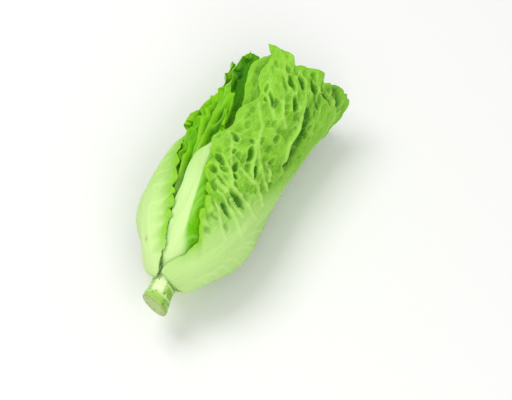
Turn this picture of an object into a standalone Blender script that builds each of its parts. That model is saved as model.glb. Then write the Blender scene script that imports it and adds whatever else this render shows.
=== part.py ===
"""A head of cos lettuce, picked and lying on its side. Metres, +Z up, stem end at -Y.

Each leaf is a thin shell with a thick rib. The leaves nest round the stem like the skins of an
onion: a level says how deep a leaf lies, and at any height a deeper level has a smaller radius,
so that no leaf meets another. Heights run along the head from the cut end of the stem. Angles
run round its long axis, from straight up (0) towards +X (90).
"""
import math
from collections import namedtuple

import bpy
from mathutils import Vector, noise

MM = 0.001

# Driving dimensions of the head
BELLY_RADIUS = 53.5 * MM      # outermost leaf, at the widest place
LEVEL_STEP = 3.3 * MM         # how much nearer the axis each level lies there
FIRST_BASE = 23.5 * MM        # height at which the outermost leaf leaves the stem
BASE_STEP = 4.5 * MM          # how much higher each deeper level leaves it
CUP_HEIGHT = 78 * MM          # height over which a leaf swells from the stem to the belly
CUP_ROUNDNESS = 0.65          # under 1, so that a leaf leaves the stem nearly square to it
CUP_LEAST = 0.25              # share of the cup's height that the innermost leaf still takes
WAIST, WAIST_HEIGHT, WAIST_SPREAD = 0.03, 170 * MM, 40 * MM
TOP_FLARE, FLARE_START, FLARE_END = 0.15, 175 * MM, 270 * MM
HEART_CLOSE, CLOSE_START, CLOSE_END = 0.07, 135 * MM, 230 * MM
OPEN_LEVELS = 4.6             # leaves deeper than this close over the heart
WIDE, LOW = 0.985, 0.95       # the head sags a little: less high than wide

# Where the head lies
REST_HEIGHT = 116.5 * MM      # height along the head of the middle of the flat resting spot
AXIS_Z = 46 * MM              # long axis above the surface
STEM_LEAN = 5 * MM            # the cut end stands this far off the axis, towards +X
LEAN_END = 110 * MM
NEST_ON_FLOOR = 1.5 * MM      # each level lies this much higher where the head is pressed flat
FLOOR_LEVELS = 1.0            # leaves outside this level touch the surface

# Stem: heights and radii, in mm, from the cut end up
STEM_PROFILE = [(0, 12.4), (1.5, 13.2), (8, 12.4), (15, 11.3), (24, 11.4), (43, 9.6), (63, 7.2), (81, 4.6)]
STEM_TOP_ROUND = 3 * MM
STEM_SIDES = 20
CUT_SKEW, CUT_SKEW_LENGTH = 0.25, 18 * MM   # slope of the cut, longest towards +X, and how far up it reaches
LEAF_GAP, LEAF_GAP_STEP = 1.5 * MM, 0.14 * MM

# Leaf thickness
BLADE = 0.9 * MM
RIB_BASE = 4.2 * MM           # how much thicker the rib is at its foot
RIB_FADE, RIB_FADE_START = 0.85, 0.1   # share of that lost by the tip
RIB_WIDTH_BASE, RIB_WIDTH_TIP = 13 * MM, 2.2 * MM
RIB_BULGE = 2.2 * MM          # how far the rib stands out of the leaf's outer face
RIB_NARROWING = 1.15          # how fast it narrows along the leaf
FOOT_SHARE, FOOT_TAPER = 0.4, 0.07   # the foot is thinner, over this share of the leaf's length

# Leaf form
MARGIN_START = 0.45           # share of the half-width at which the wavy margin starts
MARGIN_DROP = 2.4             # power by which the tip's outline drops towards the margins
CROWN_START = 0.82            # share of the length from which the tip's outline is shaped
BASE_RISE = 3 * MM            # how much higher the margins leave the stem than the rib does
LEVEL_SHIFT = (0.1, 0.8)      # shares of the half-width between which a margin changes level
LEVEL_SHIFT_LENGTH = 0.13     # share of the leaf's length by which it has
CRUMPLE, CRUMPLE_SIZE = 1.2 * MM, 26 * MM
CRUMPLE_END = 0.4             # share of the length by which the crumples are at their full height
FRILL_WAVE = 38 * MM          # length of one wave along a margin
FRILL_OUT, FRILL_SWING = 0.55, 0.45
SCALLOP = 0.04                # how much the margin's outline goes in and out, as a share of its span
SCALLOP_LAG = 1.3             # radians by which the outline's waves follow the frill's
LEAF_PHASE, SIDE_PHASE = 0.31, 0.4   # turns of a wave between one leaf and the next, and its two sides
PLAIN_FRILL = [(0, 0), (0.3, 0.6), (1, 1.5)]
ROW_CROWDING, COLUMN_CROWDING = 1.15, 1.1   # powers that crowd the mesh towards the foot and the rib

# A leaf's curves are (share of its length, value) points, or one number where it stays the same.
# The rib's are angles round the head in degrees, and left and right are the angles from the rib to
# each margin. The margins' levels are counted from the rib's, and their frills are in mm. crown is
# how far in mm the tip's outline stands past the plain one, at places across the leaf from -1 to 1.
Leaf = namedtuple(
    "Leaf",
    "name tip level rib left right left_level right_level left_frill right_frill crown drop rib_size"
    " columns rows seed",
    defaults=(0, 0, PLAIN_FRILL, PLAIN_FRILL, 0, 0.16, 1, 10, 22, 0))

WRAPPING_LEAVES = [
    Leaf("leaf_right", 258 * MM, level=[(0, 0), (0.5, 0), (0.75, -0.5), (1, -0.8)],
         rib=[(0, 50), (0.1, 61), (0.25, 67), (0.4, 73), (0.55, 86), (0.7, 96), (0.85, 94), (1, 80)],
         left=[(0, 58), (0.06, 43), (0.13, 39), (0.23, 53), (0.35, 66), (0.465, 87), (0.6, 100), (0.76, 96),
               (0.86, 94), (1, 88)],
         right=[(0, 45), (0.25, 50), (0.5, 44), (0.7, 34), (1, 22)],
         right_level=[(0, 1.5), (0.05, 1.2), (0.12, 0.6), (0.2, -0.3), (0.27, -0.8), (0.36, -0.4),
                      (0.5, 0.3), (0.75, 0.2), (1, -0.6)],
         left_frill=[(0, 0), (0.12, 1.5), (0.3, 3.2), (0.5, 3), (0.62, 0.6), (1, 2)],
         crown=[(-1, 1), (-0.84, -1), (-0.74, -3), (-0.69, -10), (-0.65, -8), (-0.57, -6), (-0.41, -1),
                (-0.36, -8), (-0.3, -5), (-0.1, 3), (0.55, 10), (1, 12)],
         drop=0.03, columns=16, rows=28, seed=1),
    Leaf("leaf_left", 248 * MM,
         level=[(0, 0), (0.54, 0), (0.8, 3.2), (1, 3.4)],
         rib=[(0, -38), (0.16, -48), (0.3, -56), (0.43, -67), (0.57, -82), (0.81, -106), (1, -112)],
         left=[(0, 34), (0.16, 50), (0.3, 60), (0.43, 58), (0.57, 44), (0.7, 40), (0.87, 42), (1, 34)],
         right=[(0, 20), (0.09, 29), (0.26, 32), (0.37, 28), (0.51, 17), (0.57, 11), (0.65, 5), (0.81, 8),
                (0.92, 20), (1, 22)],
         left_level=[(0, 1.5), (0.1, 1.4), (0.2, -0.3), (0.3, -0.6), (0.42, 0), (0.6, 0.4), (1, 0)],
         right_frill=[(0, 0), (0.12, 1), (0.3, 2), (0.45, 0.3), (0.8, 0.3), (1, 1.5)],
         drop=0.03, columns=12, rows=26, seed=2),
    Leaf("leaf_under", 262 * MM, level=0.9, rib=180,
         left=[(0, 40), (0.3, 44), (0.7, 42), (1, 36)],
         right=[(0, 40), (0.3, 44), (0.6, 42), (0.8, 43), (1, 36)],
         rows=26, seed=3),
    Leaf("leaf_torn", 148 * MM, level=1.5,
         rib=[(0, 0), (0.2, 4), (0.55, -3), (0.82, -11), (1, -15)],
         left=[(0, 14), (0.13, 22), (0.28, 23), (0.54, 19), (0.8, 17), (1, 14)],
         right=[(0, 24), (0.2, 34), (0.55, 40), (1, 32)],
         left_frill=0, right_frill=0.3, drop=0.03, columns=8, rows=14, seed=4),
    Leaf("leaf_ruffled", 210 * MM, level=3.0,
         rib=[(0, -20), (0.3, -28), (0.6, -36), (1, -40)],
         left=[(0, 20), (0.3, 28), (0.5, 28), (0.6, 30), (0.66, 31), (0.74, 34), (0.85, 40), (1, 34)],
         right=[(0, 20), (0.3, 40), (0.55, 44), (0.72, 24), (1, 18)],
         left_level=[(0, 0), (0.15, -1), (0.69, -1.1), (0.83, -1.7), (1, -1.7)],
         right_level=[(0, 0.4), (1, 0.4)],
         left_frill=[(0, 0), (0.79, 0.2), (0.9, 3), (1, 3)],
         right_frill=[(0, 0), (0.7, 0.5), (1, 2)],
         columns=12, rows=20, seed=5),
    Leaf("leaf_top", 246 * MM,
         level=[(0, 5), (0.5, 5), (0.84, 2.4), (1, 1.4)], rib=[(0, 12), (0.8, 12), (1, 8)],
         left=[(0, 30), (0.4, 34), (0.67, 14), (0.76, 18), (0.85, 23), (0.94, 26), (1, 28)],
         right=[(0, 30), (0.4, 46), (0.7, 46), (1, 30)],
         crown=[(-1, 8), (-0.6, 5), (-0.2, 0), (1, -4)],
         left_frill=[(0, 0), (0.6, 0.5), (0.8, 2), (1, 2)], right_frill=0.5, drop=0.1, seed=6),
    Leaf("leaf_back_right", 256 * MM, level=3.0, rib=104,
         left=[(0, 34), (0.4, 38), (1, 34)],
         right=[(0, 40), (0.4, 58), (0.7, 60), (1, 48)],
         left_frill=0.5, seed=7),
    Leaf("leaf_back_left", 272 * MM, level=[(0, 5.3), (0.6, 5.3), (1, 4.8)],
         rib=[(0, -116), (0.6, -116), (1, -122)],
         left=[(0, 38), (0.4, 50), (0.7, 50), (1, 44)],
         right=[(0, 38), (0.4, 50), (0.6, 54), (0.8, 56), (1, 52)],
         right_frill=[(0, 0), (0.5, 0.3), (0.8, 1.5), (1, 2)],
         crown=[(-1, 2), (-0.6, 4), (-0.2, 5), (0.2, 4), (0.45, 1), (0.7, -3), (1, -4)], drop=0.12, seed=8),
]

# The heart: leaves set one after another round the stem by the golden angle
HEART_COUNT = 7
GOLDEN_ANGLE = 137.5
HEART_FIRST_ANGLE = 64
HEART_TWIST = 8               # degrees by which a heart leaf turns from foot to tip
HEART_FIRST_LEVEL, HEART_LEVEL_STEP = 6.7, 0.88
HEART_TIP, HEART_TIP_STEP = 212 * MM, 6.5 * MM
HEART_SPAN = [(0, 42), (0.4, 60), (0.75, 62), (1, 46)]
HEART_FRILL = [(0, 0), (0.4, 0.4), (1, 0.8)]
HEART_RIB = 0.6
HEART_COLUMNS, HEART_ROWS = 8, 15
HEART_FIRST_SEED = 50

COLOURS = {
    "stem": ((0.60, 0.72, 0.36, 1), 0.45),
    "leaf": ((0.25, 0.53, 0.06, 1), 0.42),
    "heart": ((0.45, 0.66, 0.12, 1), 0.42),
}


def smooth(x):
    """0 below 0, 1 above 1, and an easy curve between."""
    x = min(max(x, 0.0), 1.0)
    return x * x * (3 - 2 * x)


def along(points, x):
    """The value at x of a smooth curve through (place, value) points. A number stands for itself."""
    if isinstance(points, (int, float)):
        return points
    if x <= points[0][0]:
        return points[0][1]
    if x >= points[-1][0]:
        return points[-1][1]
    i = max(k for k in range(len(points) - 1) if points[k][0] <= x)
    (x0, y0), (x1, y1) = points[i], points[i + 1]

    def slope(k):
        if k in (0, len(points) - 1):
            return 0.0
        return (points[k + 1][1] - points[k - 1][1]) / (points[k + 1][0] - points[k - 1][0])

    step = x1 - x0
    t = (x - x0) / step
    return ((2 * t**3 - 3 * t**2 + 1) * y0 + (t**3 - 2 * t**2 + t) * step * slope(i)
            + (3 * t**2 - 2 * t**3) * y1 + (t**3 - t**2) * step * slope(i + 1))


def stem_radius(height):
    return along([(h * MM, r * MM) for h, r in STEM_PROFILE], height)


def leaf_base(level):
    return FIRST_BASE + BASE_STEP * level


def nest_radius(height, level):
    """How far from the axis a level lies at this height: the deeper, the nearer."""
    base = leaf_base(level)
    foot = stem_radius(base) + LEAF_GAP + LEAF_GAP_STEP * level
    belly = BELLY_RADIUS - LEVEL_STEP * level
    cup = CUP_HEIGHT * (CUP_LEAST + (1 - CUP_LEAST) * belly / BELLY_RADIUS)
    rise = math.sin(math.pi / 2 * min(max((height - base) / cup, 0), 1)) ** CUP_ROUNDNESS
    waist = 1 - WAIST * math.exp(-(((height - WAIST_HEIGHT) / WAIST_SPREAD) ** 2))
    flare = 1 + TOP_FLARE * smooth((height - FLARE_START) / (FLARE_END - FLARE_START))
    close = smooth((height - CLOSE_START) / (CLOSE_END - CLOSE_START))
    closed = 1 - HEART_CLOSE * max(level - OPEN_LEVELS, 0) * close
    return foot + (belly - foot) * rise * waist * flare * closed


def place(height, angle, radius, level):
    """A point of the head in the row's frame, pressed flat where it meets the surface."""
    lean = STEM_LEAN * max(1 - height / LEAN_END, 0) ** 2
    floor = max(level - FLOOR_LEVELS, 0) * NEST_ON_FLOOR
    return Vector((
        lean + WIDE * radius * math.sin(angle),
        height - REST_HEIGHT,
        max(AXIS_Z + LOW * radius * math.cos(angle), floor),
    ))


def level_at(leaf, u, v):
    """A leaf's level, which may rise or sink from its rib towards each margin."""
    offset = along(leaf.left_level if v < 0 else leaf.right_level, u)
    start, end = LEVEL_SHIFT
    offset *= smooth((abs(v) - start) / (end - start)) * smooth(u / LEVEL_SHIFT_LENGTH)
    return along(leaf.level, u) + offset


def rib_share(leaf, u, distance):
    """1 on the middle line of the rib's foot, less towards the tip, and 0 beside the rib."""
    width = RIB_WIDTH_BASE + (RIB_WIDTH_TIP - RIB_WIDTH_BASE) * smooth(u * RIB_NARROWING)
    fade = RIB_FADE * smooth((u - RIB_FADE_START) / (1 - RIB_FADE_START))
    return leaf.rib_size * math.exp(-((distance / width) ** 4)) * (1 - fade)


def leaf_point(leaf, u, v):
    """A point of the outer face, and the rib's share there, at u from foot to tip and v across."""
    base = leaf_base(along(leaf.level, 0))
    length = leaf.tip - base
    margin = smooth((abs(v) - MARGIN_START) / (1 - MARGIN_START))
    drop = leaf.drop * smooth(u) * abs(v) ** MARGIN_DROP
    height = base + length * u * (1 - drop) + BASE_RISE * v * v * (1 - u)
    height += along(leaf.crown, v) * MM * smooth((u - CROWN_START) / (1 - CROWN_START))
    level = level_at(leaf, u, v)
    radius = nest_radius(height, level)

    turns = length * u / FRILL_WAVE + LEAF_PHASE * leaf.seed + (SIDE_PHASE if v < 0 else 0)
    wave = 2 * math.pi * turns
    span = along(leaf.left if v < 0 else leaf.right, u)
    scallops = 1 + SCALLOP * smooth(u * 3) * margin * math.sin(wave + SCALLOP_LAG)
    angle = math.radians(along(leaf.rib, u) + v * span * scallops)

    rib = rib_share(leaf, u, radius * math.radians(abs(v) * span))
    spot = Vector((height, radius * angle, leaf.seed * BELLY_RADIUS)) / CRUMPLE_SIZE
    crumple = CRUMPLE * noise.noise(spot) * (1 - rib) * smooth(u / CRUMPLE_END)
    frill = along(leaf.left_frill if v < 0 else leaf.right_frill, u) * MM
    frill *= margin * (FRILL_OUT + FRILL_SWING * math.sin(wave))
    foot = smooth(u / FOOT_TAPER)
    radius += RIB_BULGE * rib * foot + crumple + frill
    return place(height, angle, radius, level), rib * (FOOT_SHARE + (1 - FOOT_SHARE) * foot)


def material(name):
    colour, roughness = COLOURS[name]
    made = bpy.data.materials.get(name) or bpy.data.materials.new(name)
    made.use_nodes = True
    shader = made.node_tree.nodes["Principled BSDF"]
    shader.inputs["Base Color"].default_value = colour
    shader.inputs["Roughness"].default_value = roughness
    shader.inputs["Metallic"].default_value = 0
    return made


def keep_in(obj, collection):
    """Moves the object into this collection only."""
    for old in obj.users_collection:
        old.objects.unlink(obj)
    collection.objects.link(obj)


def make_leaf(leaf, finish, collection):
    """A flat grid bent into the leaf's outer face, then thickened inwards, most along the rib."""
    bpy.ops.mesh.primitive_grid_add(x_subdivisions=leaf.columns, y_subdivisions=leaf.rows, size=2)
    obj = bpy.context.object
    obj.name = leaf.name
    keep_in(obj, collection)
    rib = obj.vertex_groups.new(name="rib")
    for vertex in obj.data.vertices:
        v, up = vertex.co.x, (vertex.co.y + 1) / 2
        vertex.co, share = leaf_point(leaf, up**ROW_CROWDING, math.copysign(abs(v) ** COLUMN_CROWDING, v))
        rib.add([vertex.index], share, "REPLACE")
    obj.data.materials.append(material(finish))
    obj.data.shade_smooth()

    alike = obj.modifiers.new("split alike on both faces", "TRIANGULATE")
    alike.quad_method = "FIXED"
    shell = obj.modifiers.new("thickness", "SOLIDIFY")
    shell.thickness = RIB_BASE + BLADE
    shell.offset = -1
    shell.vertex_group = rib.name
    shell.thickness_vertex_group = BLADE / (RIB_BASE + BLADE)
    return obj


def make_stem(collection):
    """The stem: a turned profile, bent with the head, with its cut face a little askew."""
    top_height = STEM_PROFILE[-1][0]
    outline = [(0, top_height * MM + STEM_TOP_ROUND)]
    outline += [(r * MM, h * MM) for h, r in reversed(STEM_PROFILE)]
    outline += [(0, 0)]
    mesh = bpy.data.meshes.new("stem")
    mesh.from_pydata([(r, 0, h) for r, h in outline], [(i, i + 1) for i in range(len(outline) - 1)], [])
    obj = bpy.data.objects.new("stem", mesh)
    collection.objects.link(obj)
    turn = obj.modifiers.new("turn", "SCREW")
    turn.steps = turn.render_steps = STEM_SIDES
    turn.use_merge_vertices = True
    turn.merge_threshold = 0.00005
    turned = bpy.data.meshes.new_from_object(obj.evaluated_get(bpy.context.evaluated_depsgraph_get()))
    obj.modifiers.clear()
    obj.data = turned
    widest = max(r for h, r in STEM_PROFILE) * MM
    for vertex in turned.vertices:
        height, radius = vertex.co.z, math.hypot(vertex.co.x, vertex.co.y)
        askew = CUT_SKEW * (widest - vertex.co.x) * max(1 - height / CUT_SKEW_LENGTH, 0)
        vertex.co = place(height + askew, math.atan2(vertex.co.x, -vertex.co.y), radius, 0)
    turned.materials.append(material("stem"))
    turned.shade_smooth()
    turned.set_sharp_from_angle(angle=math.radians(50))
    return obj


def heart_leaves():
    """The small leaves of the heart, by rule."""
    leaves = []
    for i in range(HEART_COUNT):
        turn = HEART_FIRST_ANGLE + GOLDEN_ANGLE * i
        leaves.append(Leaf(
            f"heart_leaf_{i + 1}", HEART_TIP - HEART_TIP_STEP * i,
            level=HEART_FIRST_LEVEL + HEART_LEVEL_STEP * i,
            rib=[(0, turn), (1, turn - HEART_TWIST)], left=HEART_SPAN, right=HEART_SPAN,
            left_frill=HEART_FRILL, right_frill=HEART_FRILL, rib_size=HEART_RIB,
            columns=HEART_COLUMNS, rows=HEART_ROWS, seed=HEART_FIRST_SEED + i))
    return leaves


def main():
    for old in list(bpy.data.objects):
        bpy.data.objects.remove(old)
    collection = bpy.data.collections.new("cos_lettuce")
    bpy.context.scene.collection.children.link(collection)
    make_stem(collection)
    for leaf in WRAPPING_LEAVES:
        make_leaf(leaf, "leaf", collection)
    for leaf in heart_leaves():
        make_leaf(leaf, "heart", collection)


if __name__ == "__main__":
    main()
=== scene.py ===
"""The looks of a head of cos lettuce lying on its side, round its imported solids.

Each leaf is grown on a fine grid in the same nest as the solids: a level says how deep a leaf lies,
and at any height along the head a deeper level has a smaller radius. On that sheet comes what the
solids leave out: the veins, the blisters between them, folds, and the ruffles of the margins.
Metres, +Z up. Heights run along the head (+Y) from the cut end of the stem, and angles run round its
long axis, from straight up (0) towards +X (90).
"""
import math
from collections import namedtuple
from functools import partial

import bpy
import numpy as np
from bpy.props import FloatProperty, PointerProperty, StringProperty
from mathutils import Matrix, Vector, noise
from mathutils.kdtree import KDTree


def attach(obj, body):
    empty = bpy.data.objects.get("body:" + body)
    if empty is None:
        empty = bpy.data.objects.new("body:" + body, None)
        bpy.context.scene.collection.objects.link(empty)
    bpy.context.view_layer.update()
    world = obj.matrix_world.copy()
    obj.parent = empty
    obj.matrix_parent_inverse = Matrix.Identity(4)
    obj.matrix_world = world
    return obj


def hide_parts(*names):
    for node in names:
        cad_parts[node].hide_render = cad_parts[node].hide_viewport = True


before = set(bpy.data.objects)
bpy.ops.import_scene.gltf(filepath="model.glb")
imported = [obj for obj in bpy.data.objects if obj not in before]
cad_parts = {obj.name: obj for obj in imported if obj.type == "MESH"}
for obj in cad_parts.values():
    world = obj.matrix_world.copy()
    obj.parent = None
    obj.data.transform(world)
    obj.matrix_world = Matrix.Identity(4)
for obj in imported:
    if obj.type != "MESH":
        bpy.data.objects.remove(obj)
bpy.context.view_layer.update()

bl_info = {
    "name": "Cos lettuce",
    "version": (1, 0, 0),
    "blender": (4, 5, 0),
    "location": "View3D > Sidebar > Lettuce",
    "description": "Grows a head of cos lettuce leaf by leaf, with its veins, blisters and ruffles",
    "category": "Object",
}

MM = 0.001

# The nest that the leaves lie in, the same as the solids'
BELLY_RADIUS = 53.5 * MM
LEVEL_STEP = 3.3 * MM
FIRST_BASE, BASE_STEP = 23.5 * MM, 4.5 * MM
CUP_HEIGHT, CUP_ROUNDNESS, CUP_LEAST = 78 * MM, 0.65, 0.25
WAIST, WAIST_HEIGHT, WAIST_SPREAD = 0.03, 170 * MM, 40 * MM
TOP_FLARE, FLARE_START, FLARE_END = 0.15, 175 * MM, 270 * MM
HEART_CLOSE, CLOSE_START, CLOSE_END, OPEN_LEVELS = 0.07, 135 * MM, 230 * MM, 4.6
WIDE, LOW = 0.985, 0.95
REST_HEIGHT, AXIS_Z = 116.5 * MM, 46 * MM
STEM_LEAN, LEAN_END = 5 * MM, 110 * MM
NEST_ON_FLOOR, FLOOR_LEVELS = 1.5 * MM, 1.0
STEM_PROFILE = {0: 12.4, 1.5: 13.2, 8: 12.4, 15: 11.3, 24: 11.4, 43: 9.6, 63: 7.2, 81: 4.6}   # in mm
LEAF_GAP, LEAF_GAP_STEP = 1.5 * MM, 0.14 * MM
CUT_SKEW, CUT_SKEW_LENGTH = 0.25, 18 * MM   # slope of the stem's cut, and how far up it reaches

# The broad form of a leaf, the same as the solids'
RIB_BASE = 4.2 * MM
RIB_FADE, RIB_FADE_START = 0.85, 0.1
RIB_WIDTH_BASE, RIB_WIDTH_TIP = 13 * MM, 2.2 * MM
RIB_BULGE, RIB_NARROWING = 2.2 * MM, 1.15
FOOT_SHARE, FOOT_TAPER = 0.4, 0.07
MARGIN_START, MARGIN_DROP = 0.45, 2.4
BASE_RISE = 3 * MM
LEVEL_SHIFT, LEVEL_SHIFT_LENGTH = (0.1, 0.8), 0.13
CRUMPLE, CRUMPLE_SIZE, CRUMPLE_END = 1.2 * MM, 26 * MM, 0.4
FRILL_WAVE, FRILL_OUT, FRILL_SWING = 38 * MM, 0.55, 0.45
SCALLOP, SCALLOP_LAG = 0.04, 1.3
LEAF_PHASE, SIDE_PHASE = 0.31, 0.4
PLAIN_FRILL = {0: 0, 0.3: 0.6, 1: 1.5}
CROWN_START, EDGE_BLEND = 0.82, 3
FLOOR_CLEAR, FLOOR_RISE = 1 * MM, 7 * MM   # how far above the floor relief starts, and grows from there

# Side veins: lengths in mm, leans in degrees, and curves over the share of the leaf's length
VEIN_LEAN = {0: 78, 0.2: 70, 0.32: 58, 0.45: 42, 0.6: 33, 0.8: 20, 1: 10}
LEAN_AT_RIB, LEAN_TURN, STRAY, STRAY_RUN = 0.35, 12, 0.22, 14
FIRST_VEIN, LAST_VEIN, VEIN_SPACING, SPACING_LEAST, SPACING_MORE = 6.0, 0.9, 12, 0.7, 0.6
VEIN_WIDTH, VEIN_LENGTH, VEIN_SINKS, OWN_VEIN_SINKS = (1.5, 0.8), 80, 0.75, 0.5
FLESH_CALM, NET_HEIGHT = 0.85, 0.45   # shares of a vein's height: lost in pale flesh, and the net's

# Blisters: sizes in mm, and distances from their middles in half sizes
BLISTER_LONG = {0: 11, 0.35: 13, 0.6: 11, 1: 8}
BLISTER_WIDE = {0: 5, 0.35: 6.2, 0.6: 6.2, 1: 5.5}
BLISTER_TRIES, BLISTER_GAP, BLISTER_LEAST, BLISTER_SIZE = 1500, 1.55, 0.2, 0.62
OWN_SIDE_SIZE, OWN_SIDE_DEPTH, OWN_SIDE_START = 0.42, 0.6, 3   # where a leaf has its own hollows
BLISTER_WALL, BOWL_REACH, BOWL_STEEP, BOWL_RIM, BOWL_RIM_WIDTH = 0.9, 1.35, 1.25, 1.5, 0.25
RIM_WIDTH, RIM_LEAST, RIM_RISE, BEND, BEND_SIZE = 0.16, 0.3, 1.6, 1.2, (5.5, 5.5)
OPEN_SHARE, OPEN_START, OPEN_RAMP = 0.55, 2, 12   # where the open blade begins, past the pale flesh
OPEN_EDGE, VEIN_EDGE, VEIN_START = 6, 5, 3        # how far in from margin and midrib relief is whole
SOFT, SOFT_SIZE, SMALL, SMALL_SIZE, RIDGES, RIDGE_SIZE = 0.55, (12, 15), 0.3, (4.4, 5.5), 0.45, (8, 11)

# Folds: shares of their length at which they are whole, and sizes across them in mm
FOLD_START, FOLD_END = 0.3, 0.25
VALLEY, VALLEY_WALL, CREST, CREST_WALL, CREST_BACK = 1.6, 1.5, 1.4, 1.4, 0.6

# The two waves that ruffle a margin, in mm: the nearer the margin, the shorter and the livelier
Wave = namedtuple("Wave", "length bend out lobe lag reach reach_more most")
RUFFLES = (Wave(17, (16, 30), 1.3, 1.4, 1.9, 6, 3, 99), Wave(6.8, (7, 20), 0.5, 0.6, 0.7, 3.2, 0, 1.4))
RUFFLE_BEND, LIVELY, LIVELY_SWING, LIVELY_SIZE, LIVELY_RANGE = 0.6, 0.6, 0.7, (15, 60), (0.15, 1.15)
CORNER_CALM, CORNER_SIZE, MIDRIB_CALM, LOBE_FADE, LOBE_UP = 0.7, 12, 7, 5, 0.7
OTHER_MARGIN = 500   # from where the right margin's ruffles are counted, so that they differ

# What the colours read: where pale flesh and a yellow-green margin end, and how much of the relief is
# painted on as shade and highlight
FLESH_WAVER, FLESH_SIZE, FLESH_EDGE = 0.2, (7, 16), 2.4
STREAKS, STREAK_REACH, STREAK_START, STREAK_EDGE = 0.8, 2, 6, 3
BAND_START, BAND_RAMP, BAND_WAVER, BAND_SIZE, THIN_EDGE, THIN_WIDTH = 0.6, 0.7, 0.35, (9, 30), 0.15, 2
# The pale flesh lost in blisters under their painted shade, the veins' paint, and the painted highlight on
# fold crests: on grown leaves in the veins' colour, on young ones in the margin's
PALE_IN_BLISTER, VEIN_PAINT, CREST_HIGHLIGHT, YOUNG_CREST_HIGHLIGHT = 0.75, 1.2, 0.6, 0.95
# Painted shade: its curve in the blisters, its share in the valleys between bumps, and the fold depth in mm
# at which it is whole
HOLLOW_SHADE_CURVE, BUMP_VALLEY_SHADE, FOLD_SHADE_DEPTH = 1.15, 0.4, 2.2
PATTERN_SPAN = 0.3   # metres covered by the unit square of a leaf's own map

# A leaf's curves are {share of its length: value}, or one number where it stays the same. rib, left
# and right are in degrees, frills and ruffles in mm. pale_left and pale_right are how far in mm the
# rib's pale flesh reaches, and pale_up how pale it is. crown is how far in mm the tip's outline stands
# past the plain one, over places across the leaf from -1 to 1, and split is where on the grid the rib
# runs. folds, veins and hollows are a leaf's own ones, the last two on its left side, which then gets
# no other veins and only small other hollows. kind is also in the names of its faces, band is how wide
# in mm the yellow-green of a ruffled margin is, and bruises are heights, angles and sizes in mm.
Leaf = namedtuple(
    "Leaf",
    "name tip level rib left right left_level right_level left_frill right_frill drop rib_size seed"
    " pale_left pale_right pale_up left_ruffle right_ruffle crown blisters grid split folds veins"
    " hollows kind band bruises",
    defaults=(0, 0, PLAIN_FRILL, PLAIN_FRILL, 0.16, 1, 0,
              {0: 34, 0.3: 18, 0.6: 5, 1: 1.5}, None, {0: 1, 0.3: 1, 0.6: 0.6, 1: 0.5},
              {0: 0.2, 0.3: 1, 1: 1.6}, None,
              {-1: -3, -0.6: 0, -0.2: 3, 0.2: -2, 0.6: 2, 1: -2}, 1, (90, 150), 0, (), (),
              (), "leaf", 4, ()))

# The right leaf's own side veins, as {height in mm: angle}, from their sources outwards
RIGHT_VEINS = (
    {109: 67, 111: 57, 114: 45, 115: 35, 116: 26, 124: 21, 132: 16, 143: 9, 150: 6, 160: 0},
    {124: 67, 132: 52, 136: 41, 141: 35, 148: 33, 156: 30, 163: 25, 168: 21},
    {138: 63, 146: 47, 153: 37, 162: 29, 173: 24, 181: 22, 186: 17, 193: 11, 199: 7},
    {164: 68, 176: 59, 184: 56, 195: 57, 203: 55, 219: 48, 231: 40}, {193: 43, 198: 35, 211: 26},
    {85: 66, 92: 53, 97: 42, 101: 31, 104: 24, 106: 15}, {75: 51, 80: 38, 91: 27, 98: 14},
    {101: 52, 102: 42, 106: 31}, {109: 23, 112: 10}, {116: 20, 120: 11}, {132: 44, 134: 33, 136: 24},
    {146: 60, 152: 55, 156: 46}, {193: 28, 198: 23, 207: 13},
)
# Its hollows: height and angle, length and width in mm, the lean of the long axis, and the depth's share
RIGHT_HOLLOWS = (
    (152, 26, 15, 5.2, -33, 1), (163, 20, 6, 4, -68, 0.6), (146, 11, 6, 4, -46, 0.8),
    (144, 17, 8, 4.5, -39, 0.6), (134, 19, 12, 5.5, -46, 1), (126, 24, 6, 3.6, -40, 0.9),
    (159, 4, 11, 4, -62, 0.9), (134, 1, 22, 4.5, -61, 0.9), (121, 1, 14, 5, -65, 0.9),
    (126, 11, 10, 4.5, -73, 0.7), (115, 15, 12, 3, -76, 0.7), (142, 40, 19, 3.4, -40, 1),
    (153, 51, 8, 2.6, -40, 0.6), (215, 38, 14, 6, -34, 1), (199, 52, 5, 3, -58, 0.6),
    (207, 50, 6, 3, -54, 0.6), (206, 17, 14, 3.2, -44, 0.8), (204, 11, 5, 2.8, -46, 0.6),
    (109, 39, 24, 6.5, -74, 1), (103, 38, 14, 3.6, -73, 0.8), (95, 33, 20, 4.2, -67, 1),
    (118, 16, 11, 3.6, -77, 0.7), (84, 43, 10, 4, -70, 0.5), (71, 28, 10, 3, -84, 0.5),
    (83, 26, 9, 3, -74, 0.5), (120, 29, 7, 3, -81, 0.6), (213, 8, 8, 2.6, -28, 0.6),
    (224, 21, 17, 3, -38, 0.6), (229, 26, 12, 5.5, -46, 0.9), (235, 34, 9, 5.5, -35, 0.9),
    (239, 45, 12, 7.5, -72, 1), (247, 39, 7, 5, -36, 0.5), (240, 26, 6, 5, -48, 0.4),
    (230, 60, 6, 4.5, -69, 0.7), (241, 60, 9, 2.4, -93, 0.7), (223, 61, 6, 3, -36, 0.5),
)

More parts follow.
